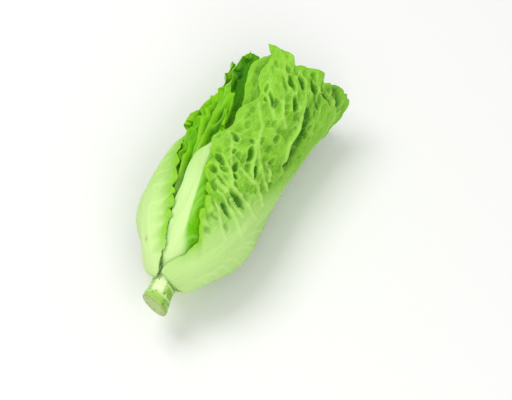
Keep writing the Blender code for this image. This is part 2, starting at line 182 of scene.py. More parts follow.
LEAF_RIGHT = Leaf(
    "leaf_right", 258 * MM, level={0: 0, 0.5: 0, 0.75: -0.5, 1: -0.8},
    rib={0: 50, 0.1: 61, 0.25: 67, 0.4: 73, 0.55: 86, 0.7: 96, 0.85: 94, 1: 80},
    left={0: 58, 0.06: 43, 0.13: 39, 0.23: 53, 0.35: 66, 0.465: 87, 0.6: 100, 0.76: 96, 0.86: 94, 1: 88},
    right={0: 45, 0.25: 50, 0.5: 44, 0.7: 34, 1: 22},
    right_level={0: 1.5, 0.05: 1.2, 0.12: 0.6, 0.2: -0.3, 0.27: -0.8, 0.36: -0.4, 0.5: 0.3, 0.75: 0.2,
                 1: -0.6},
    left_frill={0: 0, 0.12: 1.5, 0.3: 3.2, 0.5: 3, 0.62: 0.6, 1: 2}, drop=0.03, seed=1,
    pale_left={0: 56, 0.12: 50, 0.25: 36, 0.4: 20, 0.6: 9, 1: 2},
    pale_right={0: 60, 0.3: 54, 0.45: 30, 0.6: 13, 0.7: 9, 1: 2},
    pale_up={0: 0.82, 0.15: 0.74, 0.3: 0.68, 0.45: 0.5, 0.7: 0.12, 1: 0},
    left_ruffle={0: 0.2, 0.08: 0.8, 0.18: 1.5, 0.3: 1.9, 0.5: 1.7, 0.56: 0.25, 0.86: 0.25, 1: 0.8},
    right_ruffle={0: 0.2, 0.5: 0.25, 0.8: 0.4, 0.92: 0.8, 1: 1.2},
    crown={-1: 1, -0.84: -1, -0.74: -3, -0.69: -10, -0.65: -8, -0.57: -6, -0.41: -1, -0.36: -8,
           -0.3: -5, -0.1: 3, 0.55: 10, 1: 12},
    grid=(180, 220), split=0.4,
    folds=(
        # heights and angles along it, then in mm the valley's depth, the crest's height and the width
        ([(158, 67), (175, 64), (183, 61), (191, 59), (202, 57), (219, 48), (228, 44)], 5, 1.6, 6.5),
        ([(246, 96), (246, 85), (247, 73), (250, 64), (256, 56)], 2.6, 0.8, 6.5),
        ([(240, 76), (241, 63), (241, 57), (243, 52), (248, 46)], 1.6, 0.6, 1.5),
    ),
    veins=RIGHT_VEINS, hollows=RIGHT_HOLLOWS)
LEAF_LEFT = Leaf(
    "leaf_left", 248 * MM, level={0: 0, 0.54: 0, 0.8: 3.2, 1: 3.4},
    rib={0: -38, 0.16: -48, 0.3: -56, 0.43: -67, 0.57: -82, 0.81: -106, 1: -112},
    left={0: 34, 0.16: 50, 0.3: 60, 0.43: 58, 0.57: 44, 0.7: 40, 0.87: 42, 1: 34},
    right={0: 20, 0.09: 29, 0.26: 32, 0.37: 28, 0.51: 17, 0.57: 11, 0.65: 5, 0.81: 8, 0.92: 20, 1: 22},
    left_level={0: 1.5, 0.1: 1.4, 0.2: -0.3, 0.3: -0.6, 0.42: 0, 0.6: 0.4, 1: 0},
    right_level={0: 0, 0.15: 0.9, 0.27: 0.9, 0.38: 1.5, 0.5: 1.7, 0.65: 0.8, 1: 0},
    right_frill={0: 0, 0.12: 1, 0.3: 2, 0.45: 0.6, 0.8: 0.3, 1: 1.5},
    drop=0.03, seed=2, crown={-1: -2, 0: 0, 0.4: 3, 0.7: 8, 0.9: 11, 1: 12},
    pale_left={0: 72, 0.25: 70, 0.45: 38, 0.6: 13, 1: 2},
    pale_right={0: 40, 0.3: 34, 0.45: 18, 0.6: 8, 1: 2},
    pale_up={0: 1, 0.12: 0.95, 0.25: 0.8, 0.4: 0.6, 0.6: 0.45, 1: 0.4},
    left_ruffle={0: 0.1, 0.4: 0.15, 0.6: 0.8, 1: 1.5},
    right_ruffle={0: 0.5, 0.1: 1.1, 0.3: 1.8, 0.5: 2.2, 0.8: 1.6, 1: 2},
    blisters=1.4, grid=(130, 190), band=8, bruises=((47, -43, 2.0), (41, -36, 0.9)))
LEAF_UNDER = Leaf(
    "leaf_under", 262 * MM, level=0.9, rib=180, left={0: 40, 0.3: 44, 0.7: 42, 1: 36},
    right={0: 40, 0.3: 44, 0.6: 42, 0.8: 43, 1: 36},
    left_ruffle={0: 0.1, 0.45: 0.2, 0.7: 0.8, 1: 1.2}, seed=3, grid=(90, 160))
LEAF_TORN = Leaf(
    "leaf_torn", 148 * MM, level=1.5, rib={0: 0, 0.2: 4, 0.55: -3, 0.82: -11, 1: -15},
    left={0: 14, 0.13: 22, 0.28: 23, 0.54: 19, 0.8: 17, 1: 14}, right={0: 24, 0.2: 34, 0.55: 40, 1: 32},
    left_frill=0, right_frill=0.3, drop=0.03, seed=4,
    pale_left=60, pale_right={0: 20, 0.13: 12, 0.25: 4, 0.4: 1.5, 1: 1.5},
    pale_up={0: 1, 0.6: 0.95, 1: 0.75}, left_ruffle=0.05, right_ruffle=0.6,
    crown={-1: -11, -0.7: -6, -0.4: -3, -0.1: 2, 0.1: 3, 0.4: 0, 1: -6}, blisters=0.4,
    grid=(70, 110), kind="young leaf")
LEAF_RUFFLED = Leaf(
    "leaf_ruffled", 210 * MM, level=3.0, rib={0: -20, 0.3: -28, 0.6: -36, 1: -40},
    left={0: 20, 0.3: 28, 0.5: 28, 0.6: 30, 0.66: 31, 0.74: 34, 0.85: 40, 1: 34},
    right={0: 20, 0.3: 40, 0.55: 44, 0.72: 31, 0.88: 24, 1: 20},
    left_level={0: 0, 0.15: -1.3, 0.69: -1.3, 0.83: -1.8, 1: -1.7},
    right_level={0: 0.4, 1: 0.4}, rib_size=0.15, left_frill={0: 0, 0.79: 0.2, 0.9: 3, 1: 3},
    right_frill={0: 0, 0.7: 0.5, 1: 2}, seed=5,
    pale_left={0: 14, 0.25: 5, 0.5: 1.5, 1: 1}, pale_up={0: 1, 0.3: 0.4, 0.5: 0.15, 1: 0.1},
    left_ruffle={0: 1, 0.3: 2.2, 0.6: 3.4, 1: 3.2}, right_ruffle={0: 0.2, 0.6: 1.6, 1: 2.4},
    folds=(([(52, -20), (78, -25), (108, -32), (134, -43), (158, -52)], 2.4, 2.6, 4),
           ([(118, -16), (140, -27), (160, -33), (182, -36), (196, -40)], 3, 2.6, 5),
           ([(126, 6), (146, -6), (166, -12), (186, -20)], 2.6, 2.4, 5),
           ([(148, -40), (166, -47), (184, -52), (198, -58)], 2.6, 2, 4)), blisters=1.7,
    crown={-1: -6, -0.7: 2, -0.4: -5, -0.1: 4, 0.25: -3, 0.6: 3, 1: -5},
    grid=(120, 150), kind="young leaf")
LEAF_TOP = Leaf(
    "leaf_top", 246 * MM, level={0: 5, 0.5: 5, 0.84: 2.4, 1: 1.4}, rib={0: 12, 0.8: 12, 1: 8},
    left={0: 30, 0.4: 34, 0.67: 14, 0.76: 18, 0.85: 23, 0.94: 26, 1: 28},
    right={0: 30, 0.4: 46, 0.7: 46, 1: 30},
    left_frill={0: 0, 0.6: 0.5, 0.8: 2, 1: 2}, right_frill=0.5, drop=0.1, seed=6,
    left_ruffle={0: 0.2, 0.7: 0.8, 1: 1}, blisters=0.45,
    crown={-1: 8, -0.6: 5, -0.2: 0, 1: -4}, grid=(90, 140))
LEAF_BACK_RIGHT = Leaf(
    "leaf_back_right", 256 * MM, level=3.0, rib=104, left={0: 34, 0.4: 38, 1: 34},
    right={0: 40, 0.4: 58, 0.7: 60, 1: 48}, left_frill=0.5, seed=7, grid=(110, 150))
LEAF_BACK_LEFT = Leaf(
    "leaf_back_left", 272 * MM, level={0: 5.3, 0.6: 5.3, 1: 4.8}, rib={0: -116, 0.6: -116, 1: -122},
    left={0: 38, 0.4: 50, 0.7: 50, 1: 44}, right={0: 38, 0.4: 50, 0.6: 54, 0.8: 56, 1: 52},
    right_frill={0: 0, 0.5: 0.3, 0.8: 1.5, 1: 2}, drop=0.12, seed=8,
    crown={-1: 2, -0.6: 5, -0.2: 7, 0.2: 6, 0.45: 2, 0.7: -3, 1: -4}, blisters=1.5,
    pale_up={0: 1, 0.4: 0.4, 0.55: 0.1, 1: 0}, grid=(120, 160))

# The heart: leaves set one after another round the stem by the golden angle
HEART_COUNT, GOLDEN_ANGLE = 7, 137.5
HEART_FIRST_ANGLE, HEART_TWIST = 64, 8
HEART_FIRST_LEVEL, HEART_LEVEL_STEP = 6.7, 0.88
HEART_TIP, HEART_TIP_STEP = 212 * MM, 6.5 * MM
HEART_SPAN = {0: 42, 0.4: 60, 0.75: 62, 1: 46}
HEART_FRILL = {0: 0, 0.4: 0.4, 1: 0.8}
HEART_FIRST_SEED = 50

# Faces of the leaves: the property that holds the green, and the shades of its lighter stretches (random
# patches, and the painted light on bump tops), of the painted shade in hollows and fold valleys, and of the
# veins (whose colour also paints the highlight on grown leaves' fold crests), then how much light comes
# through
FACES = {
    "leaf outer face": ("blade", "#9ce03a", "#1f7400", "#bcf26a", 0.14),
    "leaf inner face": ("inner", "#76d812", "#349400", "#96e63a", 0.14),
    "young leaf outer face": ("young", "#82d80e", "#227c00", "#9ee62c", 0.14),
    "young leaf inner face": ("young", "#82d80e", "#278200", "#9ee62c", 0.14),
    "heart outer face": ("heart", "#dcf870", "#98d828", "#e8fa98", 0.35),
    "heart inner face": ("heart", "#dcf870", "#98d828", "#ecfba6", 0.35),
}
FIBRE = "#b0e068"   # fibres in the pale flesh

# The stem's skin. CUT_EDGE and RIM_EDGE are shares of its outline, from the middle of the cut upwards.
STEM_TIP, CUT_EDGE, RIM_EDGE = 3, 0.02, 0.012
SCAR_HEIGHTS, FIRST_SCAR = (3.5, 7, 10.5, 14, 17.5, 21), 40
SCAR_BOW, SCAR_WIDTH, SCAR_RISE, SCAR_ARC, SCAR_PALE = 3.2 * MM, 1.1 * MM, 0.5 * MM, 1.4, 0.6
ROUGH, ROUGH_SIZE, ROUGH_ROUND = 0.45 * MM, 6 * MM, 3
CUT_DISH, CUT_ROUGH = 0.9 * MM, 0.25 * MM
SHAVED_FROM, SHAVED_ROUND = 9 * MM, (-45, 28)      # a facet that the knife left, and a sliver beside it
SLIVER, SLIVER_SIZE = (12 * MM, 40), (2.2 * MM, 5)
SHADE_FROM, SHADE_RAMP = 18, 30                    # degrees round, from where the butt's side is painted in shade
VESSELS, VESSEL_RING, VESSEL_WIDTH = 9, 0.72, 1.1 * MM

# Camera: the photo's angle, from a distance at which nothing is stretched
CAMERA_AZIMUTH, CAMERA_ELEVATION = math.radians(27), math.radians(62)
CAMERA_DISTANCE, FRAME_WIDTH, SENSOR = 2.4, 0.449, 36.0
CAMERA_TARGET = Vector((0, -0.024, 0.046))
CAMERA_SIDE, CAMERA_LIFT = 0.0518, 0.0193   # how far right and up of the target the picture is centred
FILL_SHARE = 0.75   # of the key lamp's power


class LeafSizes(bpy.types.PropertyGroup):
    """Sizes of the leaves that a grower would change."""
    blade: FloatProperty(name="Blade", description="Thickness of a leaf's blade",
                         default=0.55 * MM, min=0.2 * MM, unit="LENGTH")
    blister: FloatProperty(name="Blister depth", description="How far a blister sinks from its veins",
                           default=2.8 * MM, min=0, unit="LENGTH")
    vein: FloatProperty(name="Vein height", description="How far a side vein stands out",
                        default=1.2 * MM, min=0, unit="LENGTH")
    bump: FloatProperty(name="Bump height", description="Height of the soft bumps between the veins",
                        default=1.6 * MM, min=0, unit="LENGTH")
    ruffle: FloatProperty(name="Ruffle", description="Size of the margins' ruffles against a real one's",
                          default=1.0, min=0, max=2)


class LeafColours(bpy.types.PropertyGroup):
    """Colours of the leaves, as sRGB hex."""
    blade: StringProperty(name="Blade", description="Outer face of a leaf", default="#70c016")
    flesh: StringProperty(name="Flesh", description="The rib's pale flesh", default="#d6f5a6")
    margin: StringProperty(name="Margin", description="Thin yellow-green margins", default="#9ade1c")
    inner: StringProperty(name="Inner face", description="Inner face of a leaf", default="#56c400")
    young: StringProperty(name="Young blade", description="The leaves between", default="#4cb600")
    heart: StringProperty(name="Heart", description="Leaves of the heart", default="#c6f04c")
    bruise: StringProperty(name="Bruise", description="A brown spot", default="#7c5c10")


class StemLook(bpy.types.PropertyGroup):
    """The cut stem."""
    skin: StringProperty(name="Skin", description="Skin of the stem", default="#b6dc72")
    scar: StringProperty(name="Scar", description="Pale scars that old leaves left", default="#e2f8b8")
    cut: StringProperty(name="Cut", description="The cut face", default="#b2d07c")
    # shade: a darker green, both for the butt's darker patches and for the painted shade on its side away
    # from the light
    shade: StringProperty(name="Shade", description="Green of the butt's sides", default="#84b83e")
    brown: StringProperty(name="Brown", description="Dots and edges that turn brown", default="#7a5a24")


class StageLook(bpy.types.PropertyGroup):
    """Floor and light."""
    floor: StringProperty(name="Floor", description="The pale floor", default="#f3f3f1")
    key: FloatProperty(name="Key light", description="Power of the large soft lamp", default=14, min=0)
    sky: FloatProperty(name="Sky", description="Strength of the light all round", default=0.55, min=0)


def linear(hex_colour):
    """An sRGB hex value as linear red, green, blue and alpha."""
    parts = [int(hex_colour[i:i + 2], 16) / 255 for i in (1, 3, 5)]
    return (*[c / 12.92 if c <= 0.04045 else ((c + 0.055) / 1.055) ** 2.4 for c in parts], 1.0)


def smooth(x):
    """0 below 0, 1 above 1, and an easy curve between."""
    x = np.clip(x, 0.0, 1.0)
    return x * x * (3 - 2 * x)


def bell(x):
    """1 at 0, and an easy fall to nothing on both sides."""
    return np.exp(-(x**2))


def along(points, x):
    """The values at x of a smooth curve, given as {place: value}. A number stands for itself."""
    x = np.asarray(x, float)
    if isinstance(points, (int, float)):
        return np.full(x.shape, float(points))
    places, values = np.array(list(points.items()), float).T
    slopes = np.zeros(len(places))
    slopes[1:-1] = (values[2:] - values[:-2]) / (places[2:] - places[:-2])
    x = np.clip(x, places[0], places[-1])
    i = np.clip(np.searchsorted(places, x, "right") - 1, 0, len(places) - 2)
    step = places[i + 1] - places[i]
    t = (x - places[i]) / step
    return ((2 * t**3 - 3 * t**2 + 1) * values[i] + (t**3 - 2 * t**2 + t) * step * slopes[i]
            + (3 * t**2 - 2 * t**3) * values[i + 1] + (t**3 - t**2) * step * slopes[i + 1])


def chance(i, j, salt):
    """A number from 0 to 1 for each square of a grid, the same on each run."""
    mask = 0xFFFFFFFF
    n = (i.astype(np.int64) * 374761393 + j.astype(np.int64) * 668265263 + salt * 144269504) & mask
    n = ((n ^ (n >> 13)) * 1274126177) & mask
    return ((n ^ (n >> 16)) & 0xFFFFFF) / 0xFFFFFF


def swell(x, y, size, salt):
    """Smooth chance heights from -1 to 1, with hills this far apart across and along."""
    x, y = x / size[0], y / size[1]
    i, j = np.floor(x), np.floor(y)
    fx, fy = smooth(x - i), smooth(y - j)
    low = chance(i, j, salt) * (1 - fx) + chance(i + 1, j, salt) * fx
    high = chance(i, j + 1, salt) * (1 - fx) + chance(i + 1, j + 1, salt) * fx
    return 2 * (low * (1 - fy) + high * fy) - 1


def nest_radius(height, level):
    """How far from the axis a level lies at this height: the deeper, the nearer."""
    base = FIRST_BASE + BASE_STEP * level
    foot = along(STEM_PROFILE, base / MM) * MM + LEAF_GAP + LEAF_GAP_STEP * level
    belly = BELLY_RADIUS - LEVEL_STEP * level
    cup = CUP_HEIGHT * (CUP_LEAST + (1 - CUP_LEAST) * belly / BELLY_RADIUS)
    rise = np.sin(math.pi / 2 * np.clip((height - base) / cup, 0, 1)) ** CUP_ROUNDNESS
    waist = 1 - WAIST * bell((height - WAIST_HEIGHT) / WAIST_SPREAD)
    flare = 1 + TOP_FLARE * smooth((height - FLARE_START) / (FLARE_END - FLARE_START))
    close = smooth((height - CLOSE_START) / (CLOSE_END - CLOSE_START))
    closed = 1 - HEART_CLOSE * np.maximum(level - OPEN_LEVELS, 0) * close
    return foot + (belly - foot) * rise * waist * flare * closed


def place(height, angle, radius, level):
    """Points of the head in the row's frame, pressed flat where they meet the surface."""
    lean = STEM_LEAN * np.maximum(1 - height / LEAN_END, 0) ** 2
    floor = np.maximum(level - FLOOR_LEVELS, 0) * NEST_ON_FLOOR
    return np.stack([
        lean + WIDE * radius * np.sin(angle),
        height - REST_HEIGHT,
        np.maximum(AXIS_Z + LOW * radius * np.cos(angle), floor),
    ], axis=1)


def vein_lean(u, out):
    """How far a side vein leans off the leaf's axis, in radians: most low down, least beside the rib."""
    turned = LEAN_AT_RIB + (1 - LEAN_AT_RIB) * smooth(out / LEAN_TURN)
    return np.radians(along(VEIN_LEAN, u)) * turned


def from_rib(leaf, height, angle):
    """A place of this leaf, given by height and angle, in mm from its rib and up from its base."""
    base = FIRST_BASE + BASE_STEP * float(along(leaf.level, 0.0))
    u = (height * MM - base) / (leaf.tip - base)
    radius = nest_radius(height * MM, along(leaf.level, u))
    return float(radius * math.radians(angle - along(leaf.rib, u)) / MM), height - base / MM


def drawn(leaf, line):
    """A line of this leaf's own, as places in mm from its rib and up, and how far along it each lies."""
    spots = np.array([from_rib(leaf, *spot) for spot in line])
    return spots, np.concatenate([[0], np.cumsum(np.hypot(*np.diff(spots, axis=0).T))])


def side_veins(leaf, length, salt):
    """Side veins as points 1 mm apart, in mm from the rib and up the leaf, and how far each has come."""
    rows = []
    for line in leaf.veins:
        spots, run = drawn(leaf, line.items())
        steps = np.arange(0, run[-1], 1.0)
        rows += zip(np.interp(steps, run, spots[:, 0]), np.interp(steps, run, spots[:, 1]),
                    steps * min(1, OWN_VEIN_SINKS * VEIN_LENGTH / run[-1]))
    for side in (1,) if leaf.veins else (-1, 1):
        source, n = FIRST_VEIN, 0
        while source < length * LAST_VEIN:
            x, y = 0.0, source
            for come in range(VEIN_LENGTH):
                lean = float(vein_lean(y / length, abs(x)))
                stray = swell(np.array(come), np.array(n * 3.7), (STRAY_RUN, 1), salt + side)
                lean += STRAY * float(stray)
                x, y = x + side * math.sin(lean), y + math.cos(lean)
                rows.append((x, y, come))
            n += 1
            luck = float(chance(np.array(n), np.array(side), salt))
            source += VEIN_SPACING * (SPACING_LEAST + SPACING_MORE * luck)
    return np.array(rows)


def in_oval(dx, dy, lean, half_long, half_wide):
    """How far places lie from the middle of a leaning oval, in its half sizes."""
    return np.hypot((dx * math.sin(lean) + dy * math.cos(lean)) / half_long,
                    (dx * math.cos(lean) - dy * math.sin(lean)) / half_wide)


def blister_spots(leaf, length, widest, salt):
    """Places for blisters: the leaf's own hollows, and elsewhere as many as fit. Each has its place in
    mm, its lean, half its length and half its width, and its depth."""
    spots = []
    for height, angle, long, wide, lean, depth in leaf.hollows:
        spots.append([*from_rib(leaf, height, angle), math.radians(lean), long / 2, wide / 2, depth])
    luck = chance(np.arange(BLISTER_TRIES)[:, None], np.arange(3)[None, :], salt + 3)
    for one, two, three in luck:
        x, y = (2 * one - 1) * widest, two * length
        u = y / length
        lean = math.copysign(float(vein_lean(u, abs(x))), x)
        own_side = bool(leaf.hollows) and x < 0
        size = OWN_SIDE_SIZE if own_side else BLISTER_SIZE
        half_long, half_wide = size * float(along(BLISTER_LONG, u)), size * float(along(BLISTER_WIDE, u))
        have = np.array(spots).reshape(-1, 6)
        far = in_oval(have[:, 0] - x, have[:, 1] - y, lean, half_long, half_wide)
        if not len(have) or far.min() > BLISTER_GAP:
            deep = BLISTER_LEAST + (1 - BLISTER_LEAST) * three**2
            spots.append([x, y, lean, half_long, half_wide, deep * (OWN_SIDE_DEPTH if own_side else 1)])
    return np.array(spots)


def blade_pattern(leaf, x, y, length, edge, reach):
    """Each point's share of side vein, of the net between the blisters, of blister, and of soft bumps."""
    salt = 100 * leaf.seed + 17
    out = np.abs(x)
    veins = side_veins(leaf, length, salt)
    tree = KDTree(len(veins))
    for i, (at_x, at_y, _) in enumerate(veins):
        tree.insert((at_x, at_y, 0), i)
    tree.balance()
    found = [tree.find((at_x, at_y, 0)) for at_x, at_y in zip(x, y)]
    away = np.array([distance for _, _, distance in found])
    come = veins[[index for _, index, _ in found], 2] / VEIN_LENGTH
    width = VEIN_WIDTH[0] + (VEIN_WIDTH[1] - VEIN_WIDTH[0]) * come
    side = bell(away / width) * (1 - VEIN_SINKS * come)

    bent_x, bent_y = (at + BEND * swell(x, y, BEND_SIZE, salt + n) for at, n in ((x, 8), (y, 9)))
    nearest, second, depth = np.full(x.shape, 9.0), np.full(x.shape, 9.0), np.zeros(x.shape)
    measured = np.zeros(x.shape, bool)
    for i, (sx, sy, *oval, deep) in enumerate(blister_spots(leaf, length, out.max(), salt)):
        away = in_oval(bent_x - sx, bent_y - sy, *oval)
        closer = away < nearest
        second = np.where(closer, nearest, np.minimum(second, away))
        depth = np.where(closer, deep, depth)
        measured = np.where(closer, i < len(leaf.hollows), measured)
        nearest = np.where(closer, away, nearest)
    rim = second - nearest
    open_blade = smooth((out - OPEN_SHARE * reach - OPEN_START) / OPEN_RAMP) * smooth(edge / OPEN_EDGE)
    own = smooth(-x / OWN_SIDE_START) if leaf.hollows else 0.0
    bowl = smooth(BOWL_STEEP * (BOWL_REACH - nearest))
    blister = (smooth(rim / BLISTER_WALL) * (1 - own) + bowl * own) * depth
    blister *= np.where(measured, smooth(edge / VEIN_EDGE), open_blade)
    net = bell(rim / RIM_WIDTH) * np.clip(depth * RIM_RISE, RIM_LEAST, 1)
    net = np.maximum(net, bell((nearest - BOWL_RIM) / BOWL_RIM_WIDTH) * depth * own)
    ridged = 0.5 - 2 * np.abs(swell(bent_x, bent_y, RIDGE_SIZE, salt + 22))
    small = swell(bent_x, bent_y, SMALL_SIZE, salt + 21)
    bumps = SOFT * swell(x, y, SOFT_SIZE, salt + 20) + SMALL * small + RIDGES * ridged
    side *= smooth(edge / VEIN_EDGE) * smooth(out / VEIN_START)
    return side, net * open_blade, blister, bumps * open_blade


def folds(leaf, x, y):
    """Folds that this leaf has of its own: a crest, and right of it a steep-sided valley, in mm outwards,
    and each point's share of a crest."""
    rise, crests = np.zeros(x.shape), np.zeros(x.shape)
    for line, depth, crest, width in leaf.folds:
        spots, run = drawn(leaf, line)
        across, place_on = np.full(x.shape, 1e3), np.zeros(x.shape)
        for (ax, ay), (bx, by), start, end in zip(spots, spots[1:], run, run[1:]):
            long = end - start
            t = np.clip(((x - ax) * (bx - ax) + (y - ay) * (by - ay)) / long**2, 0, 1)
            away = np.hypot(x - ax - t * (bx - ax), y - ay - t * (by - ay))
            right_of = np.sign((by - ay) * (x - ax) - (bx - ax) * (y - ay))
            nearer = away < np.abs(across)
            across = np.where(nearer, away * right_of, across)
            place_on = np.where(nearer, (start + t * long) / run[-1], place_on)
        share = smooth(place_on / FOLD_START) * smooth((1 - place_on) / FOLD_END)
        valley = (across - VALLEY) / np.where(across < VALLEY, VALLEY_WALL, width)
        ridge = (across + CREST) / np.where(across < -CREST, CREST_BACK * width, CREST_WALL)
        ridge = share * bell(ridge)
        rise += crest * ridge - depth * share * bell(valley)
        crests = np.maximum(crests, ridge)
    return rise, crests


def margin_run(leaf, u, base, length):
    """How far each point's row lies along the margins, in mm from the foot: left and right margin."""
    rows = np.linspace(0, 1, num=200)
    radius = nest_radius(base + length * rows, along(leaf.level, rows))
    runs = []
    for span in (leaf.left, leaf.right):
        half = radius * np.radians(along(span, rows))
        run = np.concatenate([[0], np.cumsum(np.hypot(np.diff(half), length * np.diff(rows)))]) / MM
        runs.append(np.interp(u, rows, run))
    return runs


def leaf_sheet(leaf, u, v, sizes):
    """The outer face of a leaf: its points, the rib's share of thickness, and what its colours read,
    painted shade and light among them.
    """
    left, off = v < 0, np.abs(v)

    def sided(one, other):
        return np.where(left, along(one, u), along(other, u))

    base = FIRST_BASE + BASE_STEP * float(along(leaf.level, 0.0))
    length = leaf.tip - base
    margin = smooth((off - MARGIN_START) / (1 - MARGIN_START))
    drop = leaf.drop * smooth(u) * off ** MARGIN_DROP
    height = base + length * u * (1 - drop) + BASE_RISE * v * v * (1 - u)
    height += along(leaf.crown, v) * MM * smooth((u - CROWN_START) / (1 - CROWN_START))

    start, end = LEVEL_SHIFT
    shift = smooth((off - start) / (end - start)) * smooth(u / LEVEL_SHIFT_LENGTH)
    level = along(leaf.level, u) + sided(leaf.left_level, leaf.right_level) * shift
    radius = nest_radius(height, level)

    wave = math.tau * (length * u / FRILL_WAVE + LEAF_PHASE * leaf.seed + SIDE_PHASE * left)
    span = sided(leaf.left, leaf.right)
    scallops = 1 + SCALLOP * smooth(u * 3) * margin * np.sin(wave + SCALLOP_LAG)
    rib_angle = np.radians(along(leaf.rib, u))
    angle = np.radians(along(leaf.rib, u) + v * span * scallops)

    width = RIB_WIDTH_BASE + (RIB_WIDTH_TIP - RIB_WIDTH_BASE) * smooth(u * RIB_NARROWING)
    rib = leaf.rib_size * np.exp(-((radius * np.radians(off * span) / width) ** 4))
    rib = rib * (1 - RIB_FADE * smooth((u - RIB_FADE_START) / (1 - RIB_FADE_START)))
    spots = np.stack([height, radius * angle, np.full(u.shape, leaf.seed * BELLY_RADIUS)], axis=1)
    crumple = np.array([noise.noise(Vector(p)) for p in spots / CRUMPLE_SIZE])
    crumple = CRUMPLE * crumple * (1 - rib) * smooth(u / CRUMPLE_END)
    frill = sided(leaf.left_frill, leaf.right_frill) * MM * margin
    frill *= FRILL_OUT + FRILL_SWING * np.sin(wave)
    foot = smooth(u / FOOT_TAPER)

    # How far each point is from the midrib and from the margin, in mm
    x = radius * (angle - rib_angle) / MM
    y = (height - base) / MM
    half = radius * np.radians(span) / MM
    to_side, to_tip = half * (1 - off), length * (1 - u) / MM
    near = np.exp(-to_side / EDGE_BLEND) + np.exp(-to_tip / EDGE_BLEND)
    edge = -EDGE_BLEND * np.log(near).clip(max=0)
    reach = sided(leaf.pale_left, leaf.pale_right or leaf.pale_left)
    side, net, blister, bumps = blade_pattern(leaf, x, y, length / MM, edge, reach)

    ruffle_right = leaf.left_ruffle if leaf.right_ruffle is None else leaf.right_ruffle
    ruffle = sided(leaf.left_ruffle, ruffle_right) * sizes.ruffle * foot
    ruffle *= 1 - CORNER_CALM * np.exp(-(to_side + to_tip) / CORNER_SIZE)
    ruffle *= smooth((np.abs(x) + 0.5) / MIDRIB_CALM)
    salt = 10 * leaf.seed
    run_left, run_right = margin_run(leaf, u, base, length)
    walk = np.where(left, run_left, run_right + OTHER_MARGIN) + to_side
    lively = np.clip(LIVELY + LIVELY_SWING * swell(walk, x, LIVELY_SIZE, salt + 6), *LIVELY_RANGE)
    out, lobes = 0, 0
    for n, one in enumerate(RUFFLES):
        turn = math.tau * (walk / one.length + RUFFLE_BEND * swell(walk, x, one.bend, salt + 3 * n))
        size = np.minimum(ruffle, one.most) * lively
        out += one.out * size * np.sin(turn) * np.exp(-edge / (one.reach + one.reach_more * ruffle))
        lobes += one.lobe * size * np.sin(turn + one.lag)
    angle = angle + np.where(left, -1, 1) * lobes * np.exp(-to_side / LOBE_FADE) * MM / radius
    height = height + LOBE_UP * lobes * np.exp(-to_tip / LOBE_FADE) * MM

    reach = np.maximum(reach * (1 + FLESH_WAVER * swell(x, y, FLESH_SIZE, salt + 12)), 0.5)
    flesh = np.exp(-((np.abs(x) / reach) ** FLESH_EDGE))

    crease, crests = folds(leaf, x, y)
    off_floor = smooth((AXIS_Z + LOW * radius * np.cos(angle) - FLOOR_CLEAR) / FLOOR_RISE)
    standing = side if leaf.veins else side * (1 - FLESH_CALM * flesh)
    relief = sizes.vein * (standing + NET_HEIGHT * net) - sizes.blister * blister + sizes.bump * bumps
    relief = (relief * leaf.blisters * (1 - rib) + (crease + out) * MM) * off_floor
    radius = radius + RIB_BULGE * rib * foot + crumple + frill + relief

    detail, young = min(leaf.blisters, 1), leaf.kind == "young leaf"
    streaks = np.exp(-((np.abs(x) / (STREAK_REACH * reach + STREAK_START)) ** STREAK_EDGE)) * side
    band = leaf.band * (1 + BAND_WAVER * swell(walk, x, BAND_SIZE, salt + 9))
    band = np.clip((ruffle - BAND_START) / BAND_RAMP, 0, 1) * bell(edge / band)
    # Painted shade: blister bottoms and the valleys between the soft bumps are coloured darker
    low = (blister**HOLLOW_SHADE_CURVE + BUMP_VALLEY_SHADE * np.clip(-bumps, 0, 1)) * detail
    paint = {
        # the pale flesh fades in the blisters, under the painted shade of the hollows
        "pale": np.maximum(flesh, STREAKS * detail * streaks) * along(leaf.pale_up, u)
        * (1 - band) * (1 - PALE_IN_BLISTER * np.clip(blister, 0, 1)),
        # the veins, and a painted highlight on grown leaves' fold crests in the veins' pale colour
        "vein": np.clip((VEIN_PAINT * side + net) * detail + (0 if young else CREST_HIGHLIGHT) * crests, 0, 1),
        # painted shade in the hollows and in the valleys of folds
        "hollow": np.clip(low + np.clip(-crease, 0, FOLD_SHADE_DEPTH) / FOLD_SHADE_DEPTH, 0, 1),
        # painted light on the tops of the soft bumps
        "light": np.clip(bumps, 0, 1) * detail,
        # the real yellow-green margin, and on young leaves a painted highlight on the crests of folds
        "edge": np.maximum(np.maximum(THIN_EDGE * np.exp(-edge / THIN_WIDTH), band),
                           YOUNG_CREST_HIGHLIGHT * crests if young else 0),
    }
    own_map = np.stack([x, y], axis=1) * MM / PATTERN_SPAN + 0.5
    thickness = rib * (FOOT_SHARE + (1 - FOOT_SHARE) * foot)
    return place(height, angle, radius, level), thickness, paint, own_map


def add(tree, kind, inputs=(), out=0, **settings):
    """A node with its settings, and its inputs by name or place: values, or sockets to link from. Gives
    the output that is read next."""
    made = tree.nodes.new("ShaderNode" + kind)
    for name, value in settings.items():
        setattr(made, name, value)
    for key, value in dict(inputs).items():
        if isinstance(value, bpy.types.NodeSocket):
            tree.links.new(value, made.inputs[key])
        else:
            made.inputs[key].default_value = value
    return made.outputs[out] if made.outputs else None


def new_material(name, painted):
    """A material, what adds nodes to its tree, and the mesh's attributes of these names."""
    made = bpy.data.materials.new(name)
    made.use_nodes = True
    made.node_tree.nodes.clear()
    node = partial(add, made.node_tree)
    return made, node, [node("Attribute", out="Fac", attribute_name=each) for each in painted.split()]


